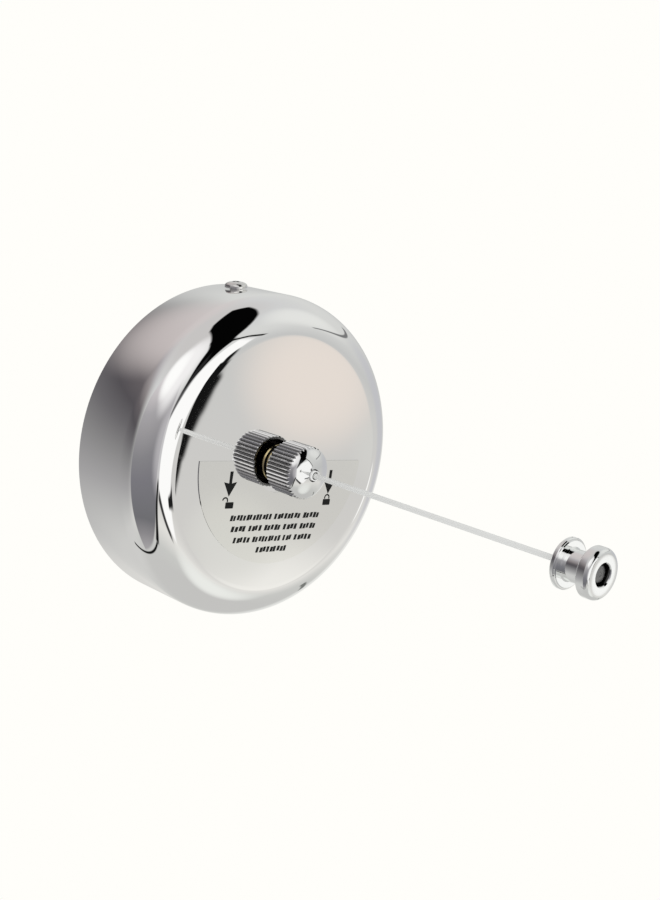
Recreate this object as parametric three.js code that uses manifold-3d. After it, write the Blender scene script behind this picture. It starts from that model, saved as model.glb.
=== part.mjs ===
// Retractable wall clothesline: a round drawn-steel cover over a spring-driven line reel. The line leaves
// through a threaded brass stem in the middle of the face, is clamped there by a knurled lock knob, and ends
// in a small spool-shaped end knob that clips into a bracket on the opposite wall.
//
// Millimetres, +Z up. The wall is the plane y = 0 and the line runs out along -Y, so most shapes below are
// given by their radius from the Y axis and their depth in front of the wall (depth = -y).
import * as THREE from "three";
import { mergeVertices } from "three/addons/utils/BufferGeometryUtils.js";
import Module from "manifold-3d";

const wasm = await Module();
wasm.setup();

// ---- driving dimensions ----
const line = { radius: 0.6, sides: 8, step: 2.8, bendStep: 1.4 };
const cover = { radius: 37.5, depth: 24.05, fillet: 8.3, wall: 1, stemHole: 3.9, sides: 56, filletSteps: 5 };
const wallPlate = { radius: 36, thickness: 1.2, lugWidth: 10, lugDepth: 10.5, lugInner: 34.8, lugOuter: 36 };
const wallHole = { radius: 2.2, head: 4.2, offset: 20 };
const coverScrew = { depth: 6.3, turn: 4, radius: 1.5, length: 3.8, headRadius: 2.6, headHeight: 1.4 };
const coverScrewHole = 1.8;
const label = { radius: 24, notch: 6.6, x: 1.2, z: 0.5, tilt: -11.6, thickness: 0.15, gap: 0.05 };
const cassette = { radius: 34.7, wall: 1.2, flat: 33.2, back: 2, backThickness: 1.6, rim: 3.9, front: 22.9 };
const cassettePost = { x: 25.07, z: 17.55, radius: 2.2, hole: 1.4 };
const cassetteScrew = { radius: 1.1, headRadius: 2.1, headDepth: 1.1, length: 9 };
const stem = { radius: 3.3, flangeRadius: 8.5, back: 20.4, flange: 1, front: 31, bore: 0.95 };
const fork = { inner: 2.1, outer: 3.3, halfWidth: 2.5, back: 14.2 };
const faceWasher = { radius: 4.4, bore: 3.6, back: 24.12, front: 24.32 };
const ringNut = { radius: 4.3, bore: 3.6, back: 24.38, front: 25.45, slot: 1 };
const knob = { radius: 6, back: 26.4, shoulder: 33.2, tip: 36, thread: 3.6, ribs: 40, ribDepth: 0.35 };
const knobRecess = { radius: 5.2, depth: 1.6 };
const eyelet = { radius: 1.15, bore: 0.9, front: 36.3 };
const drum = { flange: 27, core: 21, pocket: 19.4, back: 4.1, front: 12, web: 1, bore: 2.8 };
const arbor = { boss: 4, bossTop: 9.6, journal: 2.5, front: 12.6, tail: 1.8 };
const spring = { inner: 4.4, outer: 18.7, turns: 7, thickness: 0.3, back: 4.7, front: 9.5, stepsPerTurn: 15 };
const winding = { inner: 21.3, outer: 26.1, back: 5.4, front: 10.7 };
const cornerRoller = { x: 30.2, z: -2.4, barrel: 1.6, flange: 2.8, back: 6, front: 15.8, bore: 1.1 };
const cornerRollerPin = 0.8;
const pulley = { x: 2.8, depth: 16.5, flange: 3.6, groove: 2, halfWidth: 1.8, bore: 1.15, pin: 0.9 };
const endKnob = { back: 104.9, length: 8.6, radius: 4.95, neck: 3.1, bore: 0.9, recess: 2.15 };

// ---- materials ----
function finish(color, metalness, roughness) {
  return new THREE.MeshStandardMaterial({ color, metalness, roughness });
}

const chrome = finish(0xd6d8da, 1, 0.06);
const zincSteel = finish(0xb4b6b8, 1, 0.35);
const springSteel = finish(0x6f7680, 1, 0.3);
const brass = finish(0xb8924a, 1, 0.25);
const darkPlastic = finish(0x2b2d30, 0, 0.5);
const whitePlastic = finish(0xe9e7e0, 0, 0.4);
const lineCoating = finish(0xe4e5e0, 0, 0.35);
const labelFilm = finish(0xd9dad5, 0, 0.3);

// ---- helpers ----
const radians = THREE.MathUtils.degToRad;

// A closed geometry as a manifold-3d solid, with its triangles at a lathe's poles left out.
function solid(geometry) {
  const bare = new THREE.BufferGeometry();
  bare.setAttribute("position", geometry.getAttribute("position"));
  bare.setIndex(geometry.index);
  const merged = mergeVertices(bare, 1e-4);
  const index = merged.index.array;
  const kept = [];
  for (let i = 0; i < index.length; i += 3) {
    const [a, b, c] = index.slice(i, i + 3);
    if (a !== b && b !== c && c !== a) kept.push(a, b, c);
  }
  return new wasm.Manifold(
    new wasm.Mesh({
      numProp: 3,
      vertProperties: merged.attributes.position.array,
      triVerts: new Uint32Array(kept),
    }),
  );
}

function geometryOf(shape) {
  const mesh = shape.getMesh();
  const geometry = new THREE.BufferGeometry();
  geometry.setAttribute("position", new THREE.BufferAttribute(mesh.vertProperties, 3));
  geometry.setIndex(new THREE.BufferAttribute(mesh.triVerts, 1));
  geometry.computeVertexNormals();
  return geometry;
}

// Turns a list of [radius, depth] points about the Y axis. A profile that leaves the axis is a ring.
function revolve(profile, sides = 32) {
  const points = profile.map(([radius, depth]) => new THREE.Vector2(radius, -depth));
  if (THREE.ShapeUtils.area(points) < 0) points.reverse();
  if (points[0].x > 0) points.push(points[0].clone());
  return new THREE.LatheGeometry(points, sides);
}

// A flat shape, drawn in X and Z, from one depth to another.
function plate(shape, back, front, curveSegments = 24) {
  const settings = { depth: front - back, bevelEnabled: false, curveSegments };
  const geometry = new THREE.ExtrudeGeometry(shape, settings);
  return geometry.rotateX(Math.PI / 2).translate(0, -back, 0);
}

function box(x, depth, z) {
  const size = [x, depth, z].map(([low, high]) => high - low);
  const middle = [x, depth, z].map(([low, high]) => (low + high) / 2);
  return new THREE.BoxGeometry(...size).translate(middle[0], -middle[1], middle[2]);
}

// A round rod through a centre point, along Y by default.
function rod(radius, length, centre = [0, 0, 0], axis = "y", sides = 24) {
  const geometry = new THREE.CylinderGeometry(radius, radius, length, sides);
  if (axis === "z") geometry.rotateX(Math.PI / 2);
  return geometry.translate(...centre);
}

function circle(radius, x = 0, z = 0) {
  const path = new THREE.Shape();
  path.absarc(x, z, radius, 0, 2 * Math.PI);
  return path;
}

// Points of a quarter round from the cylinder (radius, depth) to the flat face in front of it.
function quarterRound(centreRadius, centreDepth, radius, steps) {
  return Array.from({ length: steps + 1 }, (_, i) => {
    const angle = (i / steps) * (Math.PI / 2);
    return [centreRadius + radius * Math.cos(angle), centreDepth + radius * Math.sin(angle)];
  });
}

function piece(name, shape, material, x = 0, y = 0, z = 0) {
  const mesh = new THREE.Mesh(shape.isBufferGeometry ? shape : geometryOf(shape), material);
  mesh.name = name;
  mesh.position.set(x, y, z);
  return mesh;
}

// ---- cover, wall plate, cover screws and label ----
// The two cover screws lie on one line across the housing, turned a little from the vertical.
function screwHoles(radius) {
  const holes = rod(coverScrewHole, 2 * radius + 4, [0, -coverScrew.depth, 0], "z");
  return holes.rotateY(radians(coverScrew.turn));
}

function makeCover() {
  const { radius, depth, fillet, wall, stemHole, sides, filletSteps } = cover;
  const outside = quarterRound(radius - fillet, depth - fillet, fillet, filletSteps);
  const inside = quarterRound(radius - fillet, depth - fillet, fillet - wall, filletSteps).reverse();
  const profile = [
    [radius, 0], ...outside, [stemHole, depth],
    [stemHole, depth - wall], ...inside, [radius - wall, 0],
  ];
  return piece("cover", solid(revolve(profile, sides)).subtract(solid(screwHoles(radius))), chrome);
}

function makeWallPlate() {
  const { radius, thickness, lugWidth, lugDepth, lugInner, lugOuter } = wallPlate;
  let body = solid(plate(circle(radius), 0, thickness, 36));
  for (const side of [-1, 1]) {
    const height = [lugInner, lugOuter].map((z) => side * z).sort((a, b) => a - b);
    const lug = box([-lugWidth / 2, lugWidth / 2], [0.2, lugDepth], height);
    body = body.add(solid(lug.rotateY(radians(coverScrew.turn))));
    const front = thickness + 0.1;
    const countersink = revolve([[0, -0.1], [wallHole.radius, -0.1], [wallHole.head, front], [0, front]], 24);
    body = body.subtract(solid(countersink.translate(side * wallHole.offset, 0, 0)));
  }
  return piece("wall_plate", body.subtract(solid(screwHoles(radius))), zincSteel);
}

// A pan-head screw, head up along +Y, with its seat at y = 0.
function panScrew({ radius, headRadius, headHeight, length }) {
  const profile = [
    [0, -headHeight],
    [headRadius * 0.55, -headHeight * 0.94],
    [headRadius * 0.85, -headHeight * 0.7],
    [headRadius, -headHeight * 0.3],
    [headRadius, 0],
    [radius, 0],
    [radius, length - 0.5],
    [radius - 0.5, length],
    [0, length],
  ];
  const bladeWidth = headRadius * 0.24;
  const bladeLength = headRadius * 0.5;
  const recessDepth = [-headHeight - 1, -headHeight * 0.3];
  let body = solid(revolve(profile, 24));
  for (const [x, z] of [[bladeWidth, bladeLength], [bladeLength, bladeWidth]])
    body = body.subtract(solid(box([-x, x], recessDepth, [-z, z])));
  return body;
}

function makeCoverScrew(name, side) {
  const shape = geometryOf(panScrew(coverScrew)).rotateX((side * Math.PI) / 2);
  shape.translate(0, -coverScrew.depth, side * (cover.radius + 0.05));
  return piece(name, shape.rotateY(radians(coverScrew.turn)), chrome);
}

function makeLabel() {
  const shape = new THREE.Shape();
  shape.absarc(0, 0, label.radius, Math.PI, 2 * Math.PI);
  shape.closePath();
  const back = cover.depth + label.gap;
  const film = plate(shape, back, back + label.thickness, 40).rotateY(radians(-label.tilt));
  film.translate(label.x, 0, label.z);
  const notch = rod(label.notch, 4, [0, -back, 0], "y", 32);
  return piece("label", solid(film).subtract(solid(notch)), labelFilm);
}

// ---- reel cassette ----
// A round outline with a flat at the top and bottom, which clears the wall plate's lugs.
function flatted(shape, flat) {
  return shape.intersect(solid(box([-50, 50], [-5, 50], [-flat, flat])));
}

const posts = [[1, 1], [-1, 1], [-1, -1], [1, -1]].map(([i, j]) => [i * cassettePost.x, j * cassettePost.z]);

function makeCassetteFront() {
  const { radius, wall, flat, rim, front } = cassette;
  const { x: rollerX, z: rollerZ } = cornerRoller;
  const outside = revolve([[0, rim], [radius, rim], [radius, 17], [29.5, front], [0, front]], 44);
  const inside = revolve([
    [0, rim - 1], [radius - wall, rim - 1], [radius - wall, 16.5], [28.5, front - wall], [0, front - wall],
  ], 44);
  const block = flatted(solid(outside), flat);
  let body = block.subtract(flatted(solid(inside), flat - wall));
  body = body.add(solid(rod(2, 5, [rollerX, -18.7, rollerZ])).intersect(block));
  for (const [x, z] of posts) {
    body = body.add(solid(rod(cassettePost.radius, 18, [x, -rim - 9.3, z])).intersect(block));
    body = body.subtract(solid(rod(cassettePost.hole, 10, [x, -rim - 4.9, z], "y", 16)));
  }
  body = body.subtract(solid(rod(cornerRollerPin + 0.3, 4, [rollerX, -17.8, rollerZ], "y", 16)));
  return piece("cassette_front", body.subtract(solid(rod(cover.stemHole, 4, [0, -front, 0]))), darkPlastic);
}

function makeCassetteBack() {
  const { radius, flat, back, backThickness } = cassette;
  let body = flatted(solid(plate(circle(radius), back, back + backThickness, 30)), flat);
  body = body.subtract(solid(rod(arbor.tail + 0.3, 6, [0, -back, 0])));
  const rollerFoot = [cornerRoller.x, -back, cornerRoller.z];
  body = body.subtract(solid(rod(cornerRollerPin + 0.3, 6, rollerFoot, "y", 16)));
  for (const [x, z] of posts) {
    const neck = cassetteScrew.radius + 0.3;
    const head = cassetteScrew.headRadius + 0.3;
    const profile = [
      [0, back - 1], [head, back - 1], [head, back],
      [neck, back + 1.3], [neck, back + 3], [0, back + 3],
    ];
    const hole = revolve(profile, 20);
    body = body.subtract(solid(hole.translate(x, 0, z)));
  }
  return piece("cassette_back", body, darkPlastic);
}

function makeCassetteScrew(number) {
  const { radius, headRadius, headDepth, length } = cassetteScrew;
  const [x, z] = posts[number - 1];
  const profile = [
    [0, 0.1], [headRadius, 0.1], [radius, headDepth],
    [radius, length - 1.5], [0.2, length], [0, length],
  ];
  const slot = box([-headRadius * 0.7, headRadius * 0.7], [-1, 0.6], [-0.3, 0.3]);
  const body = solid(revolve(profile, 20)).subtract(solid(slot));
  return piece(`cassette_screw_${number}`, body, zincSteel, x, -cassette.back, z);
}

// ---- drum and spring ----
function makeArbor() {
  const { boss, bossTop, journal, front, tail } = arbor;
  const profile = [
    [0, 1.5], [3, 1.5], [3, 1.7], [tail, 1.7], [tail, cassette.rim], [boss, cassette.rim],
    [boss, bossTop], [journal, bossTop], [journal, front - 0.3], [journal - 0.3, front], [0, front],
  ];
  const slot = box([0, boss + 1], [spring.back - 0.3, bossTop + 0.5], [-0.35, 0.35]);
  return piece("arbor", solid(revolve(profile, 32)).subtract(solid(slot)), zincSteel);
}

function makeDrum() {
  const { flange, core, pocket, back, front, web, bore } = drum;
  const hub = 5.2;
  const hubBack = arbor.bossTop + 0.6;
  return piece("drum", revolve([
    [bore, hubBack], [bore, front], [flange, front], [flange, front - web],
    [core, front - web], [core, back + web], [flange, back + web], [flange, back],
    [pocket, back], [pocket, front - 1.2], [hub, front - 1.2], [hub, hubBack],
  ], 40), whitePlastic);
}

function makeMainspring() {
  const { inner, outer, turns, thickness, back, front, stepsPerTurn } = spring;
  const steps = turns * stepsPerTurn;
  const edge = (offset) => Array.from({ length: steps + 1 }, (_, i) => {
    const angle = (2 * Math.PI * i) / stepsPerTurn;
    const radius = inner + ((outer - thickness - inner) * i) / steps + offset;
    return new THREE.Vector2(radius * Math.cos(angle), radius * Math.sin(angle));
  });
  const strip = new THREE.Shape([...edge(thickness), ...edge(0).reverse()]);
  return piece("mainspring", plate(strip, back, front), springSteel);
}

function makeDrumWasher() {
  const back = arbor.bossTop + 0.15;
  return makeWasher("drum_washer", arbor.journal + 0.3, 4.8, back, back + 0.3, whitePlastic);
}

function makeFaceWasher() {
  const { bore, radius, back, front } = faceWasher;
  return makeWasher("face_washer", bore, radius, back, front, darkPlastic);
}

function makeWasher(name, bore, radius, back, front, material) {
  return piece(name, revolve([[bore, back], [radius, back], [radius, front], [bore, front]], 36), material);
}

// ---- line guides ----
function makeCornerRoller() {
  const { x, z, barrel, flange, back, front, bore } = cornerRoller;
  const lip = 0.9;
  const profile = [
    [bore, back], [flange, back], [flange, back + 0.4], [barrel, back + lip], [barrel, front - lip],
    [flange, front - 0.4], [flange, front], [bore, front],
  ];
  return piece("corner_roller", revolve(profile, 32), whitePlastic, x, 0, z);
}

function makeCornerRollerPin() {
  const { x, z } = cornerRoller;
  return piece("corner_roller_pin", rod(cornerRollerPin, 16.2, [0, -10.4, 0], "y", 20), zincSteel, x, 0, z);
}

function makeCentrePulley() {
  const { x, depth, flange, groove, halfWidth, bore } = pulley;
  const profile = [
    [bore, -halfWidth], [flange, -halfWidth], [flange, -1.3], [groove, -0.75],
    [groove, 0.75], [flange, 1.3], [flange, halfWidth], [bore, halfWidth],
  ];
  const wheel = piece("centre_pulley", revolve(profile, 36), whitePlastic, x, -depth, 0);
  wheel.rotation.x = Math.PI / 2;
  return wheel;
}

function makePulleyPin() {
  const pin = rod(pulley.pin, 2 * fork.outer, [0, 0, 0], "z", 20);
  return piece("centre_pulley_pin", pin, zincSteel, pulley.x, -pulley.depth, 0);
}

// ---- stem, ring nut, clamp bush, lock knob and eyelet ----
function makeStem() {
  const { radius, flangeRadius, back, flange, front, bore } = stem;
  const barrel = revolve([
    [1.8, back], [flangeRadius, back], [flangeRadius, back + flange],
    [radius, back + flange], [radius, front],
    [2.9, front], [1.6, 27.6], [bore, 27.6], [bore, 22],
  ], 32);
  let body = solid(barrel);
  const across = [pulley.x - fork.halfWidth, pulley.x + fork.halfWidth];
  for (const ear of [[-fork.outer, -fork.inner], [fork.inner, fork.outer]])
    body = body.add(solid(box(across, [fork.back, back + 0.2], ear)));
  const pinHole = rod(pulley.pin + 0.3, 12, [pulley.x, -pulley.depth, 0], "z", 20);
  return piece("stem", body.subtract(solid(pinHole)), brass);
}

function makeRingNut() {
  const { radius, bore, back, front, slot } = ringNut;
  const ring = solid(revolve([[bore, back], [radius, back], [radius, front], [bore, front]], 40));
  const slots = solid(box([-8, 8], [front - 0.5, front + 1], [-slot / 2, slot / 2]));
  return piece("ring_nut", ring.subtract(slots), brass);
}

function makeClampBush() {
  const profile = [
    [0.85, 28.6], [1.25, 28.6], [2.6, 31.2], [2.6, 31.9],
    [3.3, 31.9], [3.3, 32.9], [0.85, 32.9],
  ];
  return piece("clamp_bush", revolve(profile, 32), whitePlastic);
}

// The knob's body, cut by a ring of ribs that run out where the dome curves in.
function makeLockKnob() {
  const { radius, back, shoulder, tip, thread, ribs, ribDepth } = knob;
  const dome = [[0.96, 0.8], [0.84, 1.6], [0.6, 2.25], [0.35, 2.5], [0.24, 2.55]];
  const blank = revolve([
    [knobRecess.radius, back], [radius - 0.3, back], [radius, back + 0.3], [radius, shoulder],
    ...dome.map(([share, height]) => [share * radius, shoulder + height]),
    [1.45, 33.9], [3.9, 33.9], [3.9, 32.2], [thread, 32.2],
    [thread, back + knobRecess.depth], [knobRecess.radius, back + knobRecess.depth],
  ], ribs);
  const star = Array.from({ length: 2 * ribs }, (_, i) => {
    const angle = (Math.PI * (i + 0.5)) / ribs;
    const reach = i % 2 ? radius + 0.1 : radius - ribDepth;
    return new THREE.Vector2(reach * Math.cos(angle), reach * Math.sin(angle));
  });
  const knurl = solid(plate(new THREE.Shape(star), back - 1, tip + 1));
  return piece("lock_knob", solid(blank).intersect(knurl), chrome);
}

function makeEyelet() {
  const { radius, bore, front } = eyelet;
  const profile = [
    [bore, 33.2], [2.3, 33.2], [2.3, 33.6], [radius, 33.6],
    [radius, front - 0.2], [radius - 0.15, front], [bore, front],
  ];
  return piece("line_eyelet", revolve(profile, 24), whitePlastic);
}

// ---- line ----
// A round tube along a curve.
function tube(curve, step) {
  const section = new THREE.Shape(Array.from({ length: line.sides }, (_, i) => {
    const angle = (2 * Math.PI * i) / line.sides;
    return new THREE.Vector2(line.radius * Math.cos(angle), line.radius * Math.sin(angle));
  }));
  const steps = Math.ceil(curve.getLength() / step);
  return new THREE.ExtrudeGeometry(section, { steps, extrudePath: curve, bevelEnabled: false });
}

// Off the winding, round the corner roller, across the front of the drum, round the centre pulley and out.
const leadPoints = [
  [20.6, 8, -17.4], [24.4, 8.9, -12.9], [28.2, 9.9, -8.4], [32.05, 11, -3.95],
  [32.6, 11.5, -2.8], [32.5, 11.9, -1.5], [31.75, 12.3, -0.5], [30.2, 12.8, 0],
  [27.5, 13.4, 0], [24, 13.7, 0], [12, 13.7, 0], [5, 13.7, 0], [2.8, 13.75, 0],
  [0.8, 14.6, 0], [0, 16.5, 0], [0, 19, 0], [0, 22, 0], [0, 27, 0], [0, 32, 0], [0, 36.3, 0],
];

function makeLineLead() {
  const route = leadPoints.map(([x, depth, z]) => new THREE.Vector3(x, -depth, z));
  const curve = new THREE.CatmullRomCurve3(route, false, "centripetal");
  return piece("line_lead", tube(curve, line.bendStep), lineCoating);
}

const freeLine = { start: 36.6, end: 111.7 };

function makeFreeLine() {
  const start = new THREE.Vector3(0, -freeLine.start, 0);
  const curve = new THREE.LineCurve3(start, new THREE.Vector3(0, -freeLine.end, 0));
  return piece("line_free", tube(curve, line.step), lineCoating);
}

function makeWinding() {
  const { inner, outer, back, front } = winding;
  const ring = revolve([[inner, back], [outer, back], [outer, front], [inner, front]], 40);
  return piece("line_winding", ring, lineCoating);
}

// ---- end knob ----
function makeEndKnob() {
  const { back, length, radius, neck, bore, recess } = endKnob;
  const front = back + length;
  return piece("end_knob", revolve([
    [bore, back], [radius - 0.35, back], [radius, back + 0.35],
    [radius, back + 1], [radius - 0.3, back + 1.35],
    [neck, back + 1.4], [neck, front - 2.65], [radius - 0.4, front - 2.6], [radius, front - 2.2],
    [radius, front - 1.5], [radius - 0.3, front - 0.7], [radius - 0.9, front - 0.15], [radius - 1.3, front],
    [recess, front], [recess, front - 3.2], [bore, front - 3.2],
  ]), chrome);
}

function makeEndFerrule() {
  const back = endKnob.back + endKnob.length - 2.9;
  const front = back + 2.2;
  const socket = back + 1.4;
  return piece("end_ferrule", revolve([
    [0, socket], [0.85, socket], [0.85, back], [1.7, back], [1.75, front - 0.4], [1.4, front], [0, front],
  ], 28), zincSteel);
}

const clothesline = new THREE.Group();
clothesline.add(
  makeCover(),
  makeWallPlate(),
  makeCoverScrew("cover_screw_top", 1),
  makeCoverScrew("cover_screw_bottom", -1),
  makeLabel(),
  makeCassetteFront(),
  makeCassetteBack(),
  ...[1, 2, 3, 4].map(makeCassetteScrew),
  makeArbor(),
  makeDrum(),
  makeMainspring(),
  makeWasher("spring_cover", 4.6, drum.pocket - 0.3, drum.back, drum.back + 0.35, zincSteel),
  makeDrumWasher(),
  makeWasher("drum_clip", arbor.journal + 0.15, 4.2, drum.front + 0.2, drum.front + 0.5, springSteel),
  makeCornerRoller(),
  makeCornerRollerPin(),
  makeCentrePulley(),
  makePulleyPin(),
  makeStem(),
  makeFaceWasher(),
  makeRingNut(),
  makeClampBush(),
  makeLockKnob(),
  makeEyelet(),
  makeLineLead(),
  makeFreeLine(),
  makeWinding(),
  makeEndKnob(),
  makeEndFerrule(),
);

export default clothesline;
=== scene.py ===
# A retractable clothesline: mirror steel cover, knurled lock knob, taut coated line and end knob.
import math
import bmesh
import bpy
from mathutils import Matrix, Vector


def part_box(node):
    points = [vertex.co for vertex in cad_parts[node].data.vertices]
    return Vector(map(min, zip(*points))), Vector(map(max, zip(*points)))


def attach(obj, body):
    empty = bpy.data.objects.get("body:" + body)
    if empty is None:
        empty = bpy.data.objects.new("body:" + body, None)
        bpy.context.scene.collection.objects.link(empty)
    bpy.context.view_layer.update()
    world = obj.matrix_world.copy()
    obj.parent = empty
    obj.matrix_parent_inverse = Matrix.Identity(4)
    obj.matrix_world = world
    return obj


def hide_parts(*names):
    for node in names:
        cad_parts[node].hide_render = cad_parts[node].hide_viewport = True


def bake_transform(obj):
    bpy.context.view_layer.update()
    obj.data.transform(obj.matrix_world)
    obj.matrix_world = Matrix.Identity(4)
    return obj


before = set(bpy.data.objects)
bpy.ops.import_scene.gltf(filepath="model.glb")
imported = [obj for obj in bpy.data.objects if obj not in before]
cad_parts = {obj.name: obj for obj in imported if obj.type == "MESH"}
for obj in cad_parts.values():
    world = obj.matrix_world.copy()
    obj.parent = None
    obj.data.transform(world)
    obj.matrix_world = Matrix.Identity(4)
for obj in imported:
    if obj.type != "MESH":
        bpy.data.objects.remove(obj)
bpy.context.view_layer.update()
mm = 0.001


def span(node):  # radius, back and front depth of a turned node
    low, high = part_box(node)
    return high[0], -high[1], -low[1]


coverRadius, _, faceDepth = span("cover")
knobRadius, knobBack, knobTip = span("lock_knob")
endRadius, endBack, endFront = span("end_knob")


cameraSetup = {
    "azimuth": -42.31, "elevation": 16.96, "distance": 0.3213, "lens": 54,
    "aim": (0.0200, -0.0190, -0.0020),
}


def heading(azimuth, elevation):  # azimuth 0 points from the object towards the room, 90 towards +X
    a, e = math.radians(azimuth), math.radians(elevation)
    return Vector((math.sin(a) * math.cos(e), -math.cos(a) * math.cos(e), math.sin(e)))


def makeCamera():
    camera = bpy.data.objects.new("camera", bpy.data.cameras.new("camera"))
    camera.data.lens = cameraSetup["lens"]
    camera.data.sensor_width = 36
    camera.data.clip_start = 0.01
    camera.data.clip_end = 20
    back = heading(cameraSetup["azimuth"], cameraSetup["elevation"])
    camera.location = Vector(cameraSetup["aim"]) + back * cameraSetup["distance"]
    camera.rotation_euler = (-back).to_track_quat("-Z", "Y").to_euler()
    bpy.context.scene.collection.objects.link(camera)
    bpy.context.scene.camera = camera


makeCamera()
print("camera placed")


class Wire:  # a socket that can be used in sums
    def __init__(self, socket):
        self.socket = socket
        self.tree = socket.id_data

    def run(self, operation, first, second=0.0):
        node = self.tree.nodes.new("ShaderNodeMath")
        node.operation = operation
        for slot, value in zip(node.inputs, (first, second)):
            if isinstance(value, Wire):
                self.tree.links.new(value.socket, slot)
            else:
                slot.default_value = value
        return Wire(node.outputs[0])

    def __add__(self, other):
        return self.run("ADD", self, other)

    def __radd__(self, other):
        return self.run("ADD", other, self)

    def __sub__(self, other):
        return self.run("SUBTRACT", self, other)

    def __rsub__(self, other):
        return self.run("SUBTRACT", other, self)

    def __mul__(self, other):
        return self.run("MULTIPLY", self, other)

    def __rmul__(self, other):
        return self.run("MULTIPLY", other, self)

    def __abs__(self):
        return self.run("ABSOLUTE", self)


class Recipe:
    def __init__(self, tree):
        self.tree = tree

    def add(self, kind, settings=None, values=None, output=0):
        node = self.tree.nodes.new(kind)
        for name, setting in (settings or {}).items():
            if name == "stops":
                fillRamp(node.color_ramp, setting)
            else:
                setattr(node, name, setting)
        for name, value in (values or {}).items():
            if isinstance(value, Wire):
                self.tree.links.new(value.socket, node.inputs[name])
            else:
                node.inputs[name].default_value = value
        return Wire(node.outputs[output])

    def smooth(self, value, low, high):
        return self.add("ShaderNodeMapRange", {"interpolation_type": "SMOOTHSTEP"},
                        {"Value": value, "From Min": low, "From Max": high})

    def blend(self, first, second, factor):
        return self.add("ShaderNodeMix", {"data_type": "RGBA"}, {0: factor, 6: first, 7: second}, 2)

    def place(self, scale=(1, 1, 1)):
        here = self.add("ShaderNodeTexCoord", output=3)
        return self.add("ShaderNodeMapping", None, {"Vector": here, "Scale": scale})

    def noise(self, scale, detail=3.0, stretch=(1, 1, 1)):
        where = self.place(stretch)
        return self.add("ShaderNodeTexNoise", None, {"Vector": where, "Scale": scale, "Detail": detail})


def fillRamp(ramp, stops):
    while len(ramp.elements) < len(stops):
        ramp.elements.new(0.5)
    for element, (position, colour) in zip(ramp.elements, stops):
        element.position = position
        element.color = colour


def tone(red, green, blue):  # a screen colour, 0 to 255, as light
    lit = [c / 255 / 12.92 if c <= 10 else ((c / 255 + 0.055) / 1.055) ** 2.4 for c in (red, green, blue)]
    return (*lit, 1.0)


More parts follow.
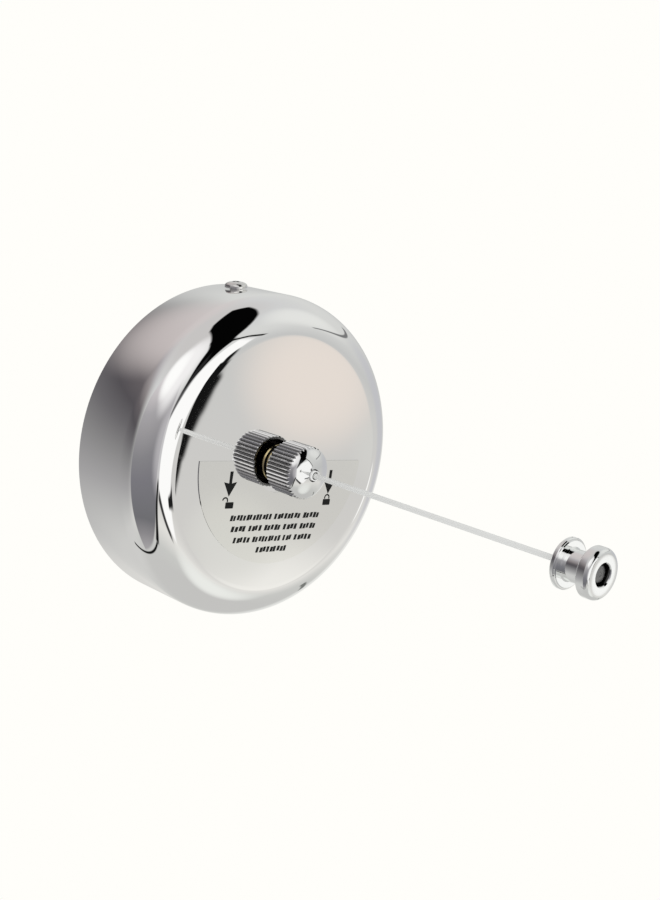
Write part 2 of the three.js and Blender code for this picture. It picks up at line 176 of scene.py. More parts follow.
# The room that the steel mirrors. Places are azimuth and elevation in degrees, as the steel sees them.
studio = {
    "backdrop": tone(255, 254, 250),
    "floorDrop": 0.25,
    "dome": 1.15,  # even light on everything that isn't a mirror
    "room": [
        (-60, (196, 196, 194)), (-45, (200, 201, 198)), (-31, (226, 225, 221)), (-20, (207, 206, 203)),
        (-8, (196, 197, 196)), (12, (212, 213, 211)), (24, (214, 215, 213)), (45, (208, 209, 209)),
        (70, (200, 198, 197)),
    ],
    "farWall": [
        (-48, (206, 206, 204)), (-36, (203, 203, 201)), (-26, (184, 184, 183)), (-16, (163, 162, 163)),
        (0, (132, 131, 132)), (10, (106, 104, 107)), (19, (84, 81, 85)), (27, (100, 95, 98)),
        (38, (146, 140, 141)), (50, (174, 170, 173)), (65, (190, 186, 187)),
    ],
    "greyPanel": [
        (-50, (162, 160, 162)), (-42, (140, 138, 141)), (-32, (111, 111, 115)), (-10, (122, 121, 127)),
        (2, (133, 132, 136)), (17, (154, 152, 155)), (28, (166, 164, 167)), (40, (196, 192, 194)),
        (60, (222, 218, 220)), (78, (206, 202, 202)),
    ],
    "panelCorners": [(-16.5, -16), (-16.5, 12), (-4, 60), (-60, 86), (-95, 38), (-137, -43)],
    "whiteBox": [(-12.8, 8.5), (7.5, 17), (27.5, 16), (34, 2), (31, -9), (12, -30), (0, -26), (-13, -16.5)],
    "blackCards": [
        [(2, 48), (-3, 79), (62, 86), (112, 78), (121, 68), (100, 61.5), (76, 58), (54, 50.5), (34, 38)],
        [(8.5, 31), (2.5, 41), (1.5, 52), (30, 52), (42, 45), (31, 34), (22, 25), (15, 27)],
        [(-11.5, 11.5), (-9.0, 19), (-1.6, 34), (2.6, 42), (16, 34), (23.5, 27), (26.5, 17.5), (7.5, 18.5)],
    ],
    "greyCard": [(8, 30), (-9, 20), (-14.5, 12), (-13, 7.5), (-4, 14), (9, 19)],
    "glows": [  # place, full inside, gone outside, colour, strength
        ((62, 26), 3, 24, (232, 233, 230), 0.75), ((88, -14), 8, 26, (192, 193, 198), 0.8),
        ((124, -34), 3, 24, (236, 237, 234), 0.7), ((22, -47), 2, 20, (238, 240, 236), 0.9),
    ],
    "softboxes": [
        ((-12, 2), 4, 28, (196, 194, 197), 0.7), ((-30, 46), 10, 30, (244, 243, 243), 0.95),
        ((-52, 51), 6, 20, (255, 255, 254), 1.0), ((172, 42), 6, 32, (206, 198, 197), 0.8),
    ],
    "faceGlows": [
        ((41.6, -14.0), 0.4, 3.7, (230, 221, 213), 1.0), ((40.0, -25.0), 0.8, 5.2, (240, 239, 234), 1.0),
        ((37.9, -20.6), 0.3, 2.4, (218, 218, 213), 0.8), ((44.8, -17), 0.2, 1.8, (212, 212, 208), 0.7),
        ((54.8, -21.9), 2.2, 3.6, (252, 252, 250), 1.0),
    ],
    "edges": [  # first end, second end, width, colour
        ((-15.5, -14), (-42, -44), 3.0, (8, 8, 9)), ((-42, -44), (-136, -43.5), 1.3, (16, 16, 17)),
        ((-13.5, -19), (5, -31), 3.2, (50, 50, 51)), ((20, 28), (31.4, 11.8), 1.1, (10, 10, 10)),
        ((31.4, 11.8), (36.6, 1), 0.9, (10, 10, 10)), ((14, -20.5), (28, -19), 1.6, (30, 30, 30)),
        ((31, -2), (34.5, -11), 2.0, (20, 20, 20)), ((52, 9), (106, 9), 1.2, (120, 120, 121)),
        ((76, -45.5), (106, -45.5), 1.2, (120, 122, 119)),
    ],
    "stripCard": [
        (28.6, -2.5), (33.2, -7.2), (37.35, -12.4), (37.6, -13.4), (37.0, -14.6), (36.1, -16.2),
        (35.6, -16.6), (31.0, -11.2), (29.3, -8),
    ],
    "faceStrip": [
        ((37.45, -13.65), (36.85, -14.5), 0.34), ((36.95, -14.3), (36.45, -15.25), 0.4),
        ((36.5, -15.1), (36.0, -16.1), 0.36), ((36.05, -15.95), (35.6, -17.2), 0.32),
        ((35.62, -17.1), (35.2, -18.7), 0.26),
    ],
}


def across(recipe, ray, towards):
    return recipe.add("ShaderNodeVectorMath", {"operation": "DOT_PRODUCT"}, {0: ray, 1: towards}, 1)


def cardMask(recipe, ray, corners, soft=2.5):  # a flat card seen from the object, by its corners
    corners = [heading(*corner) for corner in corners]
    middle = sum(corners, Vector())
    inside = None
    for first, second in zip(corners, corners[1:] + corners[:1]):
        normal = first.cross(second).normalized()
        side = across(recipe, ray, normal if normal.dot(middle) > 0 else -normal)
        inside = side if inside is None else side.run("MINIMUM", inside, side)
    edge = math.sin(math.radians(soft)) / 2
    return recipe.smooth(inside, -edge, edge)


def glowMask(recipe, ray, place, inner, outer):
    near = across(recipe, ray, heading(*place))
    return recipe.smooth(near, math.cos(math.radians(outer)), math.cos(math.radians(inner)))


def edgeMask(recipe, ray, first, second, width):  # a thin straight edge between two places
    first, second = heading(*first), heading(*second)
    middle = (first + second).normalized()
    offset = abs(across(recipe, ray, first.cross(second).normalized()))
    wide = math.sin(math.radians(width))
    reach = middle.angle(first)
    along = across(recipe, ray, middle)
    within = recipe.smooth(along, math.cos(reach + wide * 0.6), math.cos(reach - wide * 0.6))
    return (1 - recipe.smooth(offset, wide * 0.35, wide)) * within


def heightRamp(recipe, height, stops):  # height is -1 to 1 and the ramp 0 to 1
    stops = [((math.sin(math.radians(angle)) + 1) / 2, tone(*colour)) for angle, colour in stops]
    return recipe.add("ShaderNodeValToRGB", {"stops": stops}, {"Fac": height * 0.5 + 0.5})


def addGlows(recipe, ray, light, glows):
    for place, inner, outer, colour, strength in glows:
        light = recipe.blend(light, tone(*colour), glowMask(recipe, ray, place, inner, outer) * strength)
    return light


def studioLight(recipe, ray):
    height = recipe.add("ShaderNodeSeparateXYZ", None, {"Vector": ray}, 2)
    light = addGlows(recipe, ray, heightRamp(recipe, height, studio["room"]), studio["glows"])
    farWall = heightRamp(recipe, height, studio["farWall"])
    light = recipe.blend(light, farWall, glowMask(recipe, ray, (-150, 0), 42, 68))
    panel = heightRamp(recipe, height, studio["greyPanel"])
    light = recipe.blend(light, panel, cardMask(recipe, ray, studio["panelCorners"]))
    light = addGlows(recipe, ray, light, studio["softboxes"])
    light = recipe.blend(light, tone(253, 253, 252), cardMask(recipe, ray, studio["whiteBox"]))
    light = addGlows(recipe, ray, light, studio["faceGlows"])
    for first, second, width in studio["faceStrip"]:
        light = recipe.blend(light, tone(20, 20, 20), edgeMask(recipe, ray, first, second, width))
    light = recipe.blend(light, tone(20, 20, 20), cardMask(recipe, ray, studio["stripCard"], 0.6))
    for corners in studio["blackCards"]:
        light = recipe.blend(light, tone(4, 4, 4), cardMask(recipe, ray, corners))
    light = recipe.blend(light, tone(40, 40, 41), cardMask(recipe, ray, studio["greyCard"], 4) * 0.9)
    for first, second, width, colour in studio["edges"]:
        light = recipe.blend(light, tone(*colour), edgeMask(recipe, ray, first, second, width))
    return light


def makeStudio():
    world = bpy.data.worlds.new("studio")
    world.use_nodes = True
    bpy.context.scene.world = world
    recipe = Recipe(world.node_tree)
    world.node_tree.nodes.clear()
    ray = recipe.add("ShaderNodeTexCoord")
    seen = recipe.add("ShaderNodeLightPath")
    matt = recipe.add("ShaderNodeLightPath", output=2)
    room = recipe.blend(studioLight(recipe, ray), (*[studio["dome"]] * 3, 1), matt)
    colour = recipe.blend(room, studio["backdrop"], seen)
    background = recipe.add("ShaderNodeBackground", None, {"Color": colour})
    output = world.node_tree.nodes.new("ShaderNodeOutputWorld")
    world.node_tree.links.new(background.socket, output.inputs["Surface"])
    scene = bpy.context.scene
    scene.view_settings.view_transform = "Standard"
    scene.view_settings.look = "None"


makeStudio()


def newMaterial(name):
    material = bpy.data.materials.new(name)
    material.use_nodes = True
    return material, Recipe(material.node_tree), material.node_tree.nodes["Principled BSDF"]


def feed(recipe, shader, **values):  # socket names with their spaces taken out
    for name, value in values.items():
        socket = shader.inputs[{"BaseColor": "Base Color", "CoatWeight": "Coat Weight"}.get(name, name)]
        if isinstance(value, Wire):
            recipe.tree.links.new(value.socket, socket)
        else:
            socket.default_value = value


def makeFloor():
    bm = bmesh.new()
    bmesh.ops.create_grid(bm, x_segments=1, y_segments=1, size=6)
    bmesh.ops.translate(bm, vec=(0, 0, -studio["floorDrop"]), verts=bm.verts)
    mesh = bpy.data.meshes.new("floor")
    bm.to_mesh(mesh)
    bm.free()
    floor = bpy.data.objects.new("floor", mesh)
    bpy.context.scene.collection.objects.link(floor)
    material = bpy.data.materials.new("pale floor")
    material.use_nodes = True
    recipe = Recipe(material.node_tree)
    glow = recipe.add("ShaderNodeEmission", None, {"Color": studio["backdrop"]})
    recipe.tree.links.new(glow.socket, material.node_tree.nodes["Material Output"].inputs["Surface"])
    mesh.materials.append(material)
    floor.visible_glossy = False
    floor.visible_diffuse = False
    floor.visible_shadow = False


makeFloor()
print("studio lit")


def bumped(recipe, height, distance):
    return recipe.add("ShaderNodeBump", None, {"Height": height, "Distance": distance})


def metal(name, colour, roughness, spread=0.0, grain=900, stretch=(1, 1, 1), bump=0.0, tint=0.03):
    material, recipe, shader = newMaterial(name)
    cloud = recipe.noise(grain, 3, stretch)
    shade = recipe.blend((*[c * (1 - tint) for c in colour], 1), (*colour, 1), cloud)
    feed(recipe, shader, BaseColor=shade, Metallic=1.0, Roughness=cloud * spread + (roughness - spread / 2))
    if bump:
        feed(recipe, shader, Normal=bumped(recipe, cloud, bump))
    return material


def moulded(name, colour, roughness, grain=2500, bump=0.00002, tint=0.12, coat=0.0, specular=0.5):
    material, recipe, shader = newMaterial(name)
    cloud = recipe.noise(grain, 4)
    wide = recipe.noise(90, 2)
    shade = recipe.blend((*[c * (1 - tint) for c in colour], 1), (*colour, 1), wide)
    feed(recipe, shader, BaseColor=shade, Roughness=cloud * 0.12 + (roughness - 0.06),
         Normal=bumped(recipe, cloud, bump), CoatWeight=coat)
    shader.inputs["Specular IOR Level"].default_value = specular
    return material


def axisReach(recipe, place):  # distance from the line's axis, in millimetres
    flat = recipe.add("ShaderNodeVectorMath", {"operation": "MULTIPLY"}, {0: place, 1: (1000, 0, 1000)})
    return recipe.add("ShaderNodeVectorMath", {"operation": "LENGTH"}, {0: flat}, 1)


def boredChrome(recess):  # polished outside, with painted shade inside the bore
    material, recipe, shader = newMaterial("end knob chrome")
    reach = axisReach(recipe, recipe.place())
    # painted shade: nearer the axis than the counterbore wall, the chrome is coloured near black
    shadedHollow = 1 - recipe.smooth(reach, recess + 0.02, recess + 0.12)
    rings = recipe.add("ShaderNodeMath", {"operation": "SINE"}, {0: reach * 42})
    cloud = recipe.noise(900)
    shade = recipe.blend((0.955, 0.96, 0.955, 1), (0.02, 0.02, 0.02, 1), shadedHollow)
    shade = recipe.blend(shade, (0.90, 0.905, 0.90, 1), cloud * 0.4 + rings * 0.2)
    feed(recipe, shader, BaseColor=shade, Metallic=1.0, Roughness=cloud * 0.04 + 0.035)
    return material


def knurledChrome(radius, shoulder, recess):  # painted shade in the grooves and in the recess at the back, all in millimetres
    material, recipe, shader = newMaterial("knurled chrome")
    place = recipe.place()
    reach = axisReach(recipe, place)
    depth = recipe.add("ShaderNodeSeparateXYZ", None, {"Vector": place}, 1) * -1000
    past = (depth - shoulder).run("MAXIMUM", depth - shoulder, 0)
    # painted shade: the grooves between the ribs are coloured dark grey, and made rougher
    groove = 1 - recipe.smooth(reach + past * past * 0.42, radius - 0.36, radius - 0.05)
    groove = groove * (1 - recipe.smooth(depth, shoulder + 1.2, shoulder + 1.6))
    # painted shade: the recess at the back, round the stem, is coloured near black
    shadedHollow = 1 - recipe.smooth(reach, recess + 0.03, recess + 0.1)
    shadedHollow = shadedHollow * (1 - recipe.smooth(depth, shoulder - 2, shoulder - 1))
    cloud = recipe.noise(700)
    shade = recipe.blend((0.92, 0.92, 0.915, 1), (0.10, 0.10, 0.10, 1), groove * 0.9 + cloud * 0.03)
    shade = recipe.blend(shade, (0.004, 0.003, 0.003, 1), shadedHollow)
    feed(recipe, shader, BaseColor=shade, Metallic=1.0, Roughness=groove * 0.2 + cloud * 0.03 + 0.02)
    return material


def coatedLine():
    material, recipe, shader = newMaterial("coated line")
    weave = recipe.add("ShaderNodeTexWave", {"wave_type": "BANDS", "bands_direction": "DIAGONAL"},
                       {"Vector": recipe.place(), "Scale": 900.0, "Distortion": 0.8, "Detail": 1.0})
    shade = recipe.blend((0.63, 0.635, 0.62, 1), (0.655, 0.66, 0.645, 1), weave)
    feed(recipe, shader, BaseColor=shade, Roughness=0.3, CoatWeight=0.3,
         Normal=bumped(recipe, weave, 0.000003))
    return material


mirrorSteel = metal("mirror steel", (0.985, 0.98, 0.975), 0.012, 0.008, 60, tint=0.008)
screwSteel = metal("screw steel", (0.80, 0.79, 0.77), 0.10, 0.05, 900, bump=0.000003)
turnedBrass = metal("turned brass", (0.80, 0.66, 0.36), 0.16, 0.08, 1500, (1, 12, 1), 0.000003, 0.25)
zincPlate = metal("zinc plate", (0.62, 0.63, 0.66), 0.32, 0.12, 420, bump=0.000008, tint=0.1)
blueSteel = metal("spring steel", (0.30, 0.33, 0.40), 0.25, 0.1, 800, tint=0.2)
crimpMetal = metal("crimped ferrule", (0.30, 0.30, 0.30), 0.38, 0.15, 1800, bump=0.00001, tint=0.25)
blackPlastic = moulded("black plastic", (0.008, 0.008, 0.008), 0.6)
blackRubber = moulded("black rubber", (0.003, 0.003, 0.003), 0.85, specular=0.1)
palePlastic = moulded("pale plastic", (0.80, 0.79, 0.74), 0.35, tint=0.06, coat=0.2)
eyeletNylon = moulded("eyelet nylon", (0.82, 0.82, 0.81), 0.3, tint=0.04, coat=0.2)
labelFilm = metal("label film", (0.955, 0.95, 0.925), 0.045, 0.02, 500, tint=0.02)
labelInk = moulded("label ink", (0.012, 0.0125, 0.012), 0.6, 2200, 0.000002, 0.3, specular=0.1)
lineCoat = coatedLine()
print("finishes mixed")


def arc(radius, depth, bend, start, end, steps):  # a round in a profile, degrees, 0 outwards, 90 forwards
    angles = [math.radians(start + (end - start) * i / steps) for i in range(steps + 1)]
    return [(radius + bend * math.cos(a), depth + bend * math.sin(a)) for a in angles]


def turned(profile, steps=192):  # a closed profile of radius and depth, in millimetres, spun about the line
    bm = bmesh.new()
    corners = [bm.verts.new((radius * mm, -depth * mm, 0)) for radius, depth in profile]
    outline = [bm.edges.new(pair) for pair in zip(corners, corners[1:] + corners[:1])]
    for edge in [e for e in outline if max(abs(v.co.x) for v in e.verts) < 1e-7]:
        bm.edges.remove(edge)
    bmesh.ops.spin(bm, geom=bm.verts[:] + bm.edges[:], cent=(0, 0, 0), axis=(0, 1, 0), dvec=(0, 0, 0),
                   angle=2 * math.pi, steps=steps, use_merge=True, use_duplicate=False)
    bmesh.ops.remove_doubles(bm, verts=bm.verts, dist=1e-7)
    bmesh.ops.recalc_face_normals(bm, faces=bm.faces)
    return bm


def disc(radius, sides, capped=True):  # a flat round across the line, at the wall
    bm = bmesh.new()
    bmesh.ops.create_circle(bm, segments=sides, radius=radius, cap_ends=capped)
    bmesh.ops.rotate(bm, cent=(0, 0, 0), matrix=Matrix.Rotation(math.pi / 2, 3, "X"), verts=bm.verts)
    return bm


def block(low, high):  # a plain cutter between two corners
    bm = bmesh.new()
    bmesh.ops.create_cube(bm, size=1)
    bmesh.ops.scale(bm, vec=Vector(high) - Vector(low), verts=bm.verts)
    bmesh.ops.translate(bm, vec=(Vector(high) + Vector(low)) / 2, verts=bm.verts)
    return bm


def thicken(bm, faces, shift):  # pull a copy of flat faces forwards or back
    grown = bmesh.ops.extrude_face_region(bm, geom=faces)["geom"]
    corners = [part for part in grown if isinstance(part, bmesh.types.BMVert)]
    bmesh.ops.translate(bm, vec=(0, shift, 0), verts=corners)


def softenEdges(bm, width, segments=2, angle=35):
    sharp = [e for e in bm.edges if len(e.link_faces) == 2 and e.calc_face_angle(0) > math.radians(angle)]
    bmesh.ops.bevel(bm, geom=sharp, offset=width * mm, segments=segments, profile=0.5, affect="EDGES",
                    material=-1, clamp_overlap=True)


def placed(mesh, name, material):
    mesh.materials.clear()
    mesh.materials.append(material)
    piece = bpy.data.objects.new(name, mesh)
    bpy.context.scene.collection.objects.link(piece)
    return piece


def toObject(bm, name, material):
    mesh = bpy.data.meshes.new(name)
    bm.to_mesh(mesh)
    bm.free()
    return placed(mesh, name, material)


def carve(piece, cutter, operation="DIFFERENCE"):
    modifier = piece.modifiers.new("carve", "BOOLEAN")
    modifier.operation = operation
    modifier.solver = "EXACT"
    modifier.object = cutter
    bpy.context.view_layer.update()
    solid = piece.evaluated_get(bpy.context.evaluated_depsgraph_get())
    mesh = bpy.data.meshes.new_from_object(solid)
    piece.modifiers.clear()
    piece.data = mesh
    bpy.data.objects.remove(cutter)


def smoothPiece(piece, angle=32):
    for face in piece.data.polygons:
        face.use_smooth = True
    piece.data.set_sharp_from_angle(angle=math.radians(angle))
    return piece


def settle(piece, body, node, angle=32):  # smooth it, and let it ride in place of its node
    smoothPiece(piece, angle)
    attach(piece, body)
    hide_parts(node)
    return piece


lineSetup = {
    "diameter": 1.2 * mm, "sides": 16, "ringEvery": 1.4 * mm,
    "start": 36.1 * mm,  # just inside the nozzle
    "inside": 1.4 * mm,  # how far it goes into the crimp
    "layers": 4, "turnsPerLayer": 4.4, "pointsPerTurn": 32,
}
leadRoute = [  # in millimetres, from the drum by the corner roller and the centre pulley to the nozzle
    (20.6, 8, -17.4), (24.4, 8.9, -12.9), (28.2, 9.9, -8.4), (32.05, 11, -3.95),
    (32.6, 11.5, -2.8), (32.5, 11.9, -1.5), (31.75, 12.3, -0.5), (30.2, 12.8, 0),
    (27.5, 13.4, 0), (24, 13.7, 0), (12, 13.7, 0), (5, 13.7, 0), (2.8, 13.75, 0),
    (0.8, 14.6, 0), (0, 16.5, 0), (0, 19, 0), (0, 22, 0), (0, 27, 0), (0, 32, 0), (0, 36.1, 0),
]


def freeLine():
    start, end = lineSetup["start"], span("end_ferrule")[1] + lineSetup["inside"]
    rings = round((end - start) / lineSetup["ringEvery"])
    bm = disc(lineSetup["diameter"] / 2, lineSetup["sides"], capped=False)
    bmesh.ops.translate(bm, vec=(0, -start, 0), verts=bm.verts)
    rim = bm.edges[:]
    for _ in range(rings):
        grown = bmesh.ops.extrude_edge_only(bm, edges=rim)["geom"]
        rim = [part for part in grown if isinstance(part, bmesh.types.BMEdge) and part.is_boundary]
        corners = [part for part in grown if isinstance(part, bmesh.types.BMVert)]
        bmesh.ops.translate(bm, vec=(0, -(end - start) / rings, 0), verts=corners)
    bmesh.ops.holes_fill(bm, edges=bm.edges, sides=0)
    bmesh.ops.recalc_face_normals(bm, faces=bm.faces)
    piece = smoothPiece(toObject(bm, "free_line", lineCoat), 60)
    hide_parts("line_free")
    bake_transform(piece)
    path = [(0, -start - (end - start) * i / 24, 0) for i in range(25)]
    return piece, path, end - start


def routeTube(name, points, kind):  # the coated line laid along a route
    curve = bpy.data.curves.new(name, "CURVE")
    curve.dimensions = "3D"
    curve.bevel_depth = lineSetup["diameter"] / 2
    curve.bevel_resolution = 3
    curve.use_fill_caps = True
    spline = curve.splines.new(kind)
    if kind == "BEZIER":
        spline.bezier_points.add(len(points) - 1)
        for knot, place in zip(spline.bezier_points, points):
            knot.co = place
            knot.handle_left_type = knot.handle_right_type = "AUTO"
        spline.resolution_u = 6
    else:
        spline.points.add(len(points) - 1)
        for knot, place in zip(spline.points, points):
            knot.co = (*place, 1)
    holder = bpy.data.objects.new(name + "_route", curve)
    bpy.context.scene.collection.objects.link(holder)
    bpy.context.view_layer.update()
    mesh = bpy.data.meshes.new_from_object(holder.evaluated_get(bpy.context.evaluated_depsgraph_get()))
    bpy.data.objects.remove(holder)
    mesh.name = name
    return placed(mesh, name, lineCoat)


def lineLead():
    points = [(x * mm, -depth * mm, z * mm) for x, depth, z in leadRoute]
    return settle(routeTube("line_lead_in", points, "BEZIER"), "housing", "line_lead", 60)


def lineWinding():  # each layer runs back over the one below it
    outer, back, front = span("line_winding")
    radius = lineSetup["diameter"] / 2
    coils, layers, perTurn = lineSetup["turnsPerLayer"], lineSetup["layers"], lineSetup["pointsPerTurn"]
    points = []
    for i in range(int(coils * layers * perTurn) + 1):
        turn = i / perTurn
        layer = min(int(turn / coils), layers - 1)
        along = (turn - layer * coils) / coils
        along = 1 - along if layer % 2 else along
        depth = back + radius + (front - back - 2 * radius) * along
        reach = outer - radius * (2 * (layers - layer) - 1)
        angle = -2 * math.pi * turn
        points.append((reach * math.cos(angle), -depth, reach * math.sin(angle)))
    return settle(routeTube("wound_line", points, "POLY"), "drum", "line_winding", 60)


lineOut, linePath, lineLength = freeLine()
lineLead()
lineWinding()
print("line strung", round(lineLength, 4))


coverSetup = {"wall": 1.0, "fillet": 8.3, "filletSteps": 40, "rim": 0.25, "stemHole": 3.9, "sides": 288}


def makeCover():
    radius, depth = coverRadius / mm, faceDepth / mm
    wall, fillet, rim, hole = (coverSetup[key] for key in ("wall", "fillet", "rim", "stemHole"))
    centre, shoulder = radius - fillet, depth - fillet
    outside = [(radius - rim, 0), (radius - 0.07, 0.07), (radius, rim), (radius, shoulder - 0.5)]
    outside += arc(centre, shoulder, fillet, 0, 90, coverSetup["filletSteps"])
    outside += [(centre - 0.5, depth), (hole + 0.4, depth), (hole, depth - 0.3)]
    inside = [(hole, depth - wall), (centre, depth - wall)]
    inside += arc(centre, shoulder, fillet - wall, 90, 0, 12)[1:]
    inside += [(radius - wall, 0.1), (radius - wall + 0.1, 0)]
    piece = toObject(turned(outside + inside, coverSetup["sides"]), "steel_cover", mirrorSteel)
    return settle(piece, "housing", "cover", 30)


makeCover()


screwSetup = {
    "shank": 1.5, "length": 3.75, "height": 1.4, "edge": 0.3, "seatGap": 0.05,
    "turn": 4,  # both stand on one line across the housing, turned this far
    "slotWidth": 0.55, "slotLength": 2.0, "slotDepth": 0.9,
}


def makeScrew(node, side):
    low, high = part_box(node)
    head = (high[1] - low[1]) / 2 / mm
    shank, foot, top, edge = (screwSetup[key] for key in ("shank", "length", "height", "edge"))
    slopes = [math.radians(a) for a in (78, 66, 54, 42, 30, 20, 10)]
    profile = [(shank, -foot + 0.4), (shank, 0), (head, 0), (head, edge * 0.8)]
    profile += [(head * math.sin(a), edge + (top - edge) * math.cos(a) ** 0.8) for a in slopes]
    profile += [(0, top), (0, -foot), (shank - 0.4, -foot)]
    screw = toObject(turned(profile, 96), node + "_turned", screwSteel)
    half, reach = screwSetup["slotWidth"] / 2 * mm, screwSetup["slotLength"] / 2 * mm
    floor = (top - screwSetup["slotDepth"]) * mm
    for x, z in ((half, reach), (reach, half)):  # cross recess
        carve(screw, toObject(block((-x, -4 * mm, -z), (x, -floor, z)), "driver", screwSteel))
    seat = coverRadius + screwSetup["seatGap"] * mm
    screw.data.transform(Matrix.Rotation(-side * math.pi / 2, 4, "X"))
    screw.data.transform(Matrix.Translation((0, (low[1] + high[1]) / 2, side * seat)))
    screw.data.transform(Matrix.Rotation(math.radians(screwSetup["turn"]), 4, "Y"))
    return settle(screw, "housing", node)


makeScrew("cover_screw_top", 1)
makeScrew("cover_screw_bottom", -1)
print("cover and screws made")


labelSetup = {
    "radius": 24, "notch": 6.6, "x": 1.2, "z": 0.5, "tilt": -11.6, "sides": 192,
    "inkDepth": 0.018, "inkProud": 0.006,  # most of the ink is sunk in the film
    "arrows": (-14.7, 15.2), "arrowTop": -2.3, "arrowTip": -8.0,
    "openLock": (-14.2, -9.2), "shutLock": (15.1, -9.2), "openShackle": -1.35,
    "rows": [  # middle, left end, and the shares of its words
        (-12.95, -13.35, (0.46, 0.30, 0.19)), (-15.5, -12.65, (0.17, 0.15, 0.2, 0.17, 0.2)),
        (-18.1, -11.6, (0.2, 0.36, 0.11, 0.22)), (-20.6, -4.5, (1.0,)),
    ],
    "rowHeight": 1.3, "rowGap": 0.95, "block": 0.72, "blockGap": 0.26, "slant": 0.3,
}


def labelPlace(piece):
    turn = Matrix.Rotation(-math.radians(labelSetup["tilt"]), 4, "Y")
    place = Matrix.Translation((labelSetup["x"] * mm, -span("label")[1], labelSetup["z"] * mm))
    piece.data.transform(place @ turn)
    return piece


def makeLabel():
    back, front = span("label")[1:]
    bm = disc(labelSetup["radius"] * mm, labelSetup["sides"])
    bmesh.ops.bisect_plane(bm, geom=bm.verts[:] + bm.edges[:] + bm.faces[:], plane_co=(0, 0, 0),
                           plane_no=(0, 0, 1), clear_outer=True)
    thicken(bm, bm.faces[:], back - front)
    bmesh.ops.recalc_face_normals(bm, faces=bm.faces)
    film = labelPlace(toObject(bm, "label_sheet", labelFilm))
    notch = labelSetup["notch"]
    carve(film, toObject(turned([(0, 0), (notch, 0), (notch, 40), (0, 40)], 96), "notch", labelFilm))
    return settle(film, "housing", "label", 20)


def inkShape(bm, corners):  # one flat mark, by its corners in millimetres
    back, front = span("label")[1:]
    lift = back - front - labelSetup["inkProud"] * mm
    face = bm.faces.new([bm.verts.new((x * mm, lift, z * mm)) for x, z in corners])
    thicken(bm, [face], labelSetup["inkDepth"] * mm)


def inkBar(bm, left, right, low, high, bend):
    places = ((right - bend, high - bend, 0), (left + bend, high - bend, 90),
              (left + bend, low + bend, 180), (right - bend, low + bend, 270))
    inkShape(bm, [corner for x, z, start in places for corner in arc(x, z, bend, start, start + 90, 3)])


def inkWord(bm, left, right, middle):  # a row of small slanted blocks in place of a printed word
    pitch = labelSetup["block"] + labelSetup["blockGap"]
    count = max(1, round((right - left + labelSetup["blockGap"]) / pitch))
    pitch = (right - left + labelSetup["blockGap"]) / count
    half, lean = labelSetup["rowHeight"] / 2, labelSetup["slant"] / 2
    for i in range(count):
        spread = 0.12 * math.sin(2.4 * i + 1.7 * left)
        start = left + i * pitch + spread * 0.5
        end = left + (i + 1) * pitch - labelSetup["blockGap"] + spread
        rise = middle + half - 0.15 * (i % 3 == 1)
        drop = middle - half + 0.15 * (i % 4 == 2)
        inkShape(bm, [(start - lean, drop), (end - lean, drop), (end + lean, rise), (start + lean, rise)])


def inkArrow(bm, x):
    top, tip = labelSetup["arrowTop"], labelSetup["arrowTip"]
    inkShape(bm, [(x - 0.45, top), (x + 0.45, top), (x + 0.4, tip + 3.0), (x + 1.85, tip + 3.3), (x, tip),
                  (x - 1.85, tip + 3.3), (x - 0.4, tip + 3.0)])


def inkPadlock(bm, x, z, swing=0.0):  # a body, and a shackle that stands open where it swings aside
    inkBar(bm, x - 1.15, x + 1.15, z - 1.5, z - 0.05, 0.2)
    middle, lifted = x + swing, z + (0.37 if swing else 0.02)
    arch = [(math.cos(math.radians(a)), math.sin(math.radians(a))) for a in range(0, 181, 20)]
    outer = [(middle + 0.85 * c, z + 0.35 + 0.8 * s) for c, s in arch]
    inner = [(middle + 0.5 * c, z + 0.35 + 0.45 * s) for c, s in reversed(arch)]
    inkShape(bm, [(middle + 0.85, z + 0.02)] + outer + [(middle - 0.85, lifted), (middle - 0.5, lifted)]
             + inner + [(middle + 0.5, z + 0.02)])


def makeInk():
    bm = bmesh.new()
    for x in labelSetup["arrows"]:
        inkArrow(bm, x)
    inkPadlock(bm, *labelSetup["openLock"], labelSetup["openShackle"])
    inkPadlock(bm, *labelSetup["shutLock"])
    for middle, left, words in labelSetup["rows"]:
        room = -2 * left - labelSetup["rowGap"] * (len(words) - 1)
        for share in words:
            right = left + room * share / sum(words)
            inkWord(bm, left, right, middle)
            left = right + labelSetup["rowGap"]
    bmesh.ops.recalc_face_normals(bm, faces=bm.faces)
    ink = labelPlace(toObject(bm, "label_print", labelInk))
    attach(ink, "housing")


makeLabel()
makeInk()
print("label printed")


nutSetup = {"bore": 3.6, "bevel": 0.12, "slotWidth": 1.0, "slotDepth": 0.5, "washerBevel": 0.04}


def turnedRing(node, steps, bevel):
    radius, back, front = (value / mm for value in span(node))
    bore = nutSetup["bore"]
    bm = turned([(bore, back), (radius, back), (radius, front), (bore, front)], steps)
    softenEdges(bm, bevel)
    return bm


def makeNut():
    nut = toObject(turnedRing("ring_nut", 160, nutSetup["bevel"]), "brass_ring_nut", turnedBrass)
    front, half = span("ring_nut")[2], nutSetup["slotWidth"] / 2 * mm
    floor = front - nutSetup["slotDepth"] * mm
    cutter = block((-8 * mm, -front - 1 * mm, -half), (8 * mm, -floor, half))
    carve(nut, toObject(cutter, "spanner", turnedBrass))
    return settle(nut, "housing", "ring_nut")


def makeFaceWasher():
    bm = turnedRing("face_washer", 128, nutSetup["washerBevel"])
    return settle(toObject(bm, "black_washer", blackRubber), "housing", "face_washer")


makeNut()
makeFaceWasher()


knobSetup = {
    "ribs": 40, "ribDepth": 0.42, "ribSides": 8, "ribSharpness": 0.8, "thread": 3.6,
    "shoulder": 32.95, "domeSteps": 26, "shoulderCurve": 2.3, "tipCurve": 2.1,
    "tipHole": 1.45, "backRound": 0.35, "recess": 5.2, "recessDepth": 1.6,
    "chamber": 3.9, "chamberBack": 32.2, "chamberFront": 33.9,  # room for the clamp bush
}


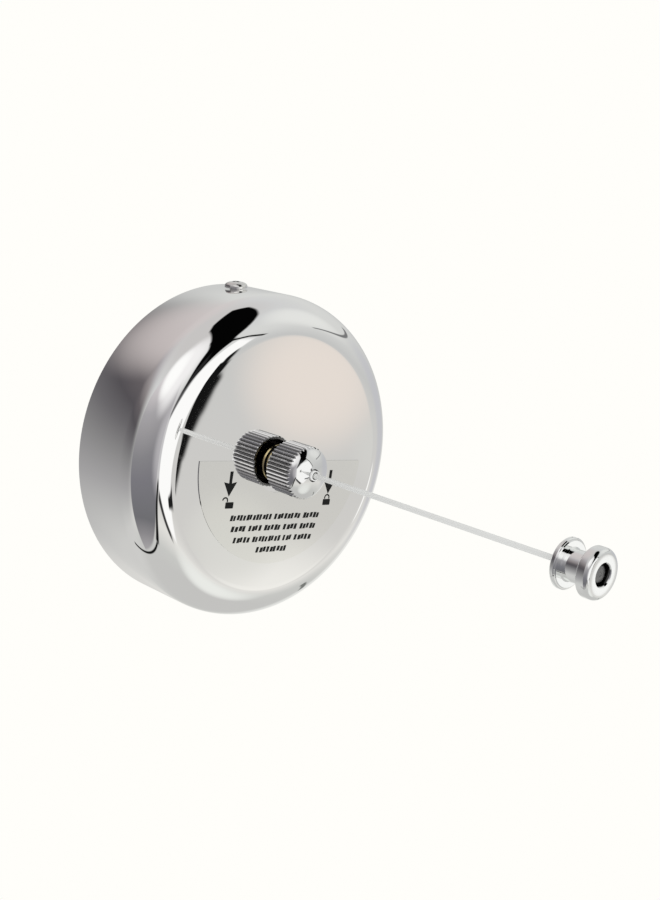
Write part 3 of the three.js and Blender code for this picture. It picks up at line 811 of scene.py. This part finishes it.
def domeProfile(radius, shoulder, tip, hole):  # a full round shoulder that flattens to the tip
    wide, tall = 2 / knobSetup["shoulderCurve"], 2 / knobSetup["tipCurve"]
    last = math.acos((hole / radius) ** wide)
    rise = (tip - shoulder) / math.sin(last) ** tall
    angles = [last * i / knobSetup["domeSteps"] for i in range(knobSetup["domeSteps"] + 1)]
    return [(radius * math.cos(a) ** (1 / wide), shoulder + rise * math.sin(a) ** tall) for a in angles]


def ribbedRod(radius, back, front):
    bm = disc(radius, knobSetup["ribs"] * knobSetup["ribSides"])
    for i, vert in enumerate(bm.verts):
        share = 0.5 - 0.5 * math.cos(2 * math.pi * i / knobSetup["ribSides"])
        vert.co *= 1 - share ** knobSetup["ribSharpness"] * knobSetup["ribDepth"] * mm / radius
    bmesh.ops.translate(bm, vec=(0, -back, 0), verts=bm.verts)
    thicken(bm, bm.faces[:], back - front)
    bmesh.ops.recalc_face_normals(bm, faces=bm.faces)
    return bm


def makeLockKnob():
    radius, back, tip = knobRadius / mm, knobBack / mm, knobTip / mm
    bend, thread, hole, recess = (knobSetup[key] for key in ("backRound", "thread", "tipHole", "recess"))
    chamber, roof, floor = (knobSetup[key] for key in ("chamber", "chamberFront", "chamberBack"))
    recessFloor = back + knobSetup["recessDepth"]
    profile = [(recess, back)] + arc(radius - bend, back + bend, bend, -90, 0, 6)
    profile += domeProfile(radius, knobSetup["shoulder"], tip, hole)
    profile += [(hole, roof), (chamber, roof), (chamber, floor), (thread, floor)]
    profile += [(thread, recessFloor), (recess, recessFloor)]
    finish = knurledChrome(radius, knobSetup["shoulder"], recess)
    knob = toObject(turned(profile, knobSetup["ribs"] * 6), "knurled_lock_knob", finish)
    rod = ribbedRod((radius + 0.01) * mm, (back - 1) * mm, (tip + 1) * mm)
    carve(knob, toObject(rod, "ribs", finish), "INTERSECT")
    return settle(knob, "lock_knob", "lock_knob", 28)


nozzleSetup = {"bore": 0.9, "radius": 1.15, "flange": 2.3, "flangeDepth": 0.4}


def makeNozzle():
    back, front = (value / mm for value in span("line_eyelet")[1:])
    bore, radius = nozzleSetup["bore"], nozzleSetup["radius"]
    flange, step = nozzleSetup["flange"], back + nozzleSetup["flangeDepth"]
    profile = [(bore, back), (flange, back), (flange, step), (radius, step), (radius, front), (bore, front)]
    bm = turned(profile, 64)
    softenEdges(bm, 0.1, 3)
    return settle(toObject(bm, "line_nozzle", eyeletNylon), "lock_clamp", "line_eyelet")


makeLockKnob()
makeNozzle()
print("lock knob made")


endSetup = {
    "neck": 3.1, "neckRound": 0.25, "bore": 0.9, "recess": 2.15, "recessDepth": 3.2,
    "flange": 1.4, "groove": 0.16, "head": 2.65, "headRound": 1.1, "edgeRound": 0.3,
}


def makeEndKnob():
    radius, back, front = endRadius / mm, endBack / mm, endFront / mm
    neck, bend, bore, recess = (endSetup[key] for key in ("neck", "neckRound", "bore", "recess"))
    flange, head, groove = back + endSetup["flange"], front - endSetup["head"], endSetup["groove"]
    headRound, edgeRound = endSetup["headRound"], endSetup["edgeRound"]
    recessFloor = front - endSetup["recessDepth"]
    profile = [(bore, back), (radius - 0.4, back), (radius - 0.22, back + 0.12), (radius, back + 0.38)]
    profile += [(radius, back + 0.52), (radius - groove, back + 0.6)]  # a turned groove round the rear flange
    profile += [(radius - groove, back + 0.72), (radius, back + 0.8), (radius, back + 1.02)]
    profile += [(radius - 0.16, flange - 0.22), (radius - 0.36, flange - 0.2), (radius - 0.5, flange)]
    profile += [(neck + bend, flange), (neck, flange + bend), (neck, head - bend), (neck + bend, head)]
    profile += arc(radius - edgeRound, head + edgeRound, edgeRound, -90, 0, 6)
    profile += arc(radius - headRound, front - headRound, headRound, 0, 90, 12)
    profile += [(recess + 0.25, front), (recess, front - 0.25), (recess, recessFloor), (bore, recessFloor)]
    knob = toObject(turned(profile, 192), "spool_end_knob", boredChrome(recess))
    return settle(knob, "end_knob", "end_knob", 30)


crimpSetup = {"throat": 0.85, "punch": 0.5, "punchDepth": 0.15}


def makeFerrule():
    radius, back, front = (value / mm for value in span("end_ferrule"))
    throat, punch = crimpSetup["throat"], crimpSetup["punch"]
    socket = back + lineSetup["inside"] / mm
    profile = [(0, socket), (throat, socket), (throat, back), (radius - 0.05, back), (radius, front - 0.4)]
    profile += [(radius - 0.12, front - 0.15), (radius - 0.4, front)]
    profile += [(punch, front), (punch - 0.15, front - 0.12), (0, front - crimpSetup["punchDepth"])]
    bm = turned(profile, 72)
    return settle(toObject(bm, "line_crimp", crimpMetal), "line_end", "end_ferrule")


endKnob = makeEndKnob()
crimp = makeFerrule()
print("end knob made")


# CAD nodes that keep their shape: the wall plate and what is inside the cover
innerFinishes = {
    zincPlate: ["wall_plate", "arbor", "spring_cover", "corner_roller_pin", "centre_pulley_pin",
                "cassette_screw_1", "cassette_screw_2", "cassette_screw_3", "cassette_screw_4"],
    blackPlastic: ["cassette_front", "cassette_back"],
    palePlastic: ["drum", "drum_washer", "corner_roller", "centre_pulley", "clamp_bush"],
    blueSteel: ["mainspring", "drum_clip"],
    turnedBrass: ["stem"],
}


def finishInside():
    for material, nodes in innerFinishes.items():
        for node in nodes:
            for slot in bpy.data.objects[node].material_slots:
                slot.material = material


finishInside()
print("inner pieces finished")
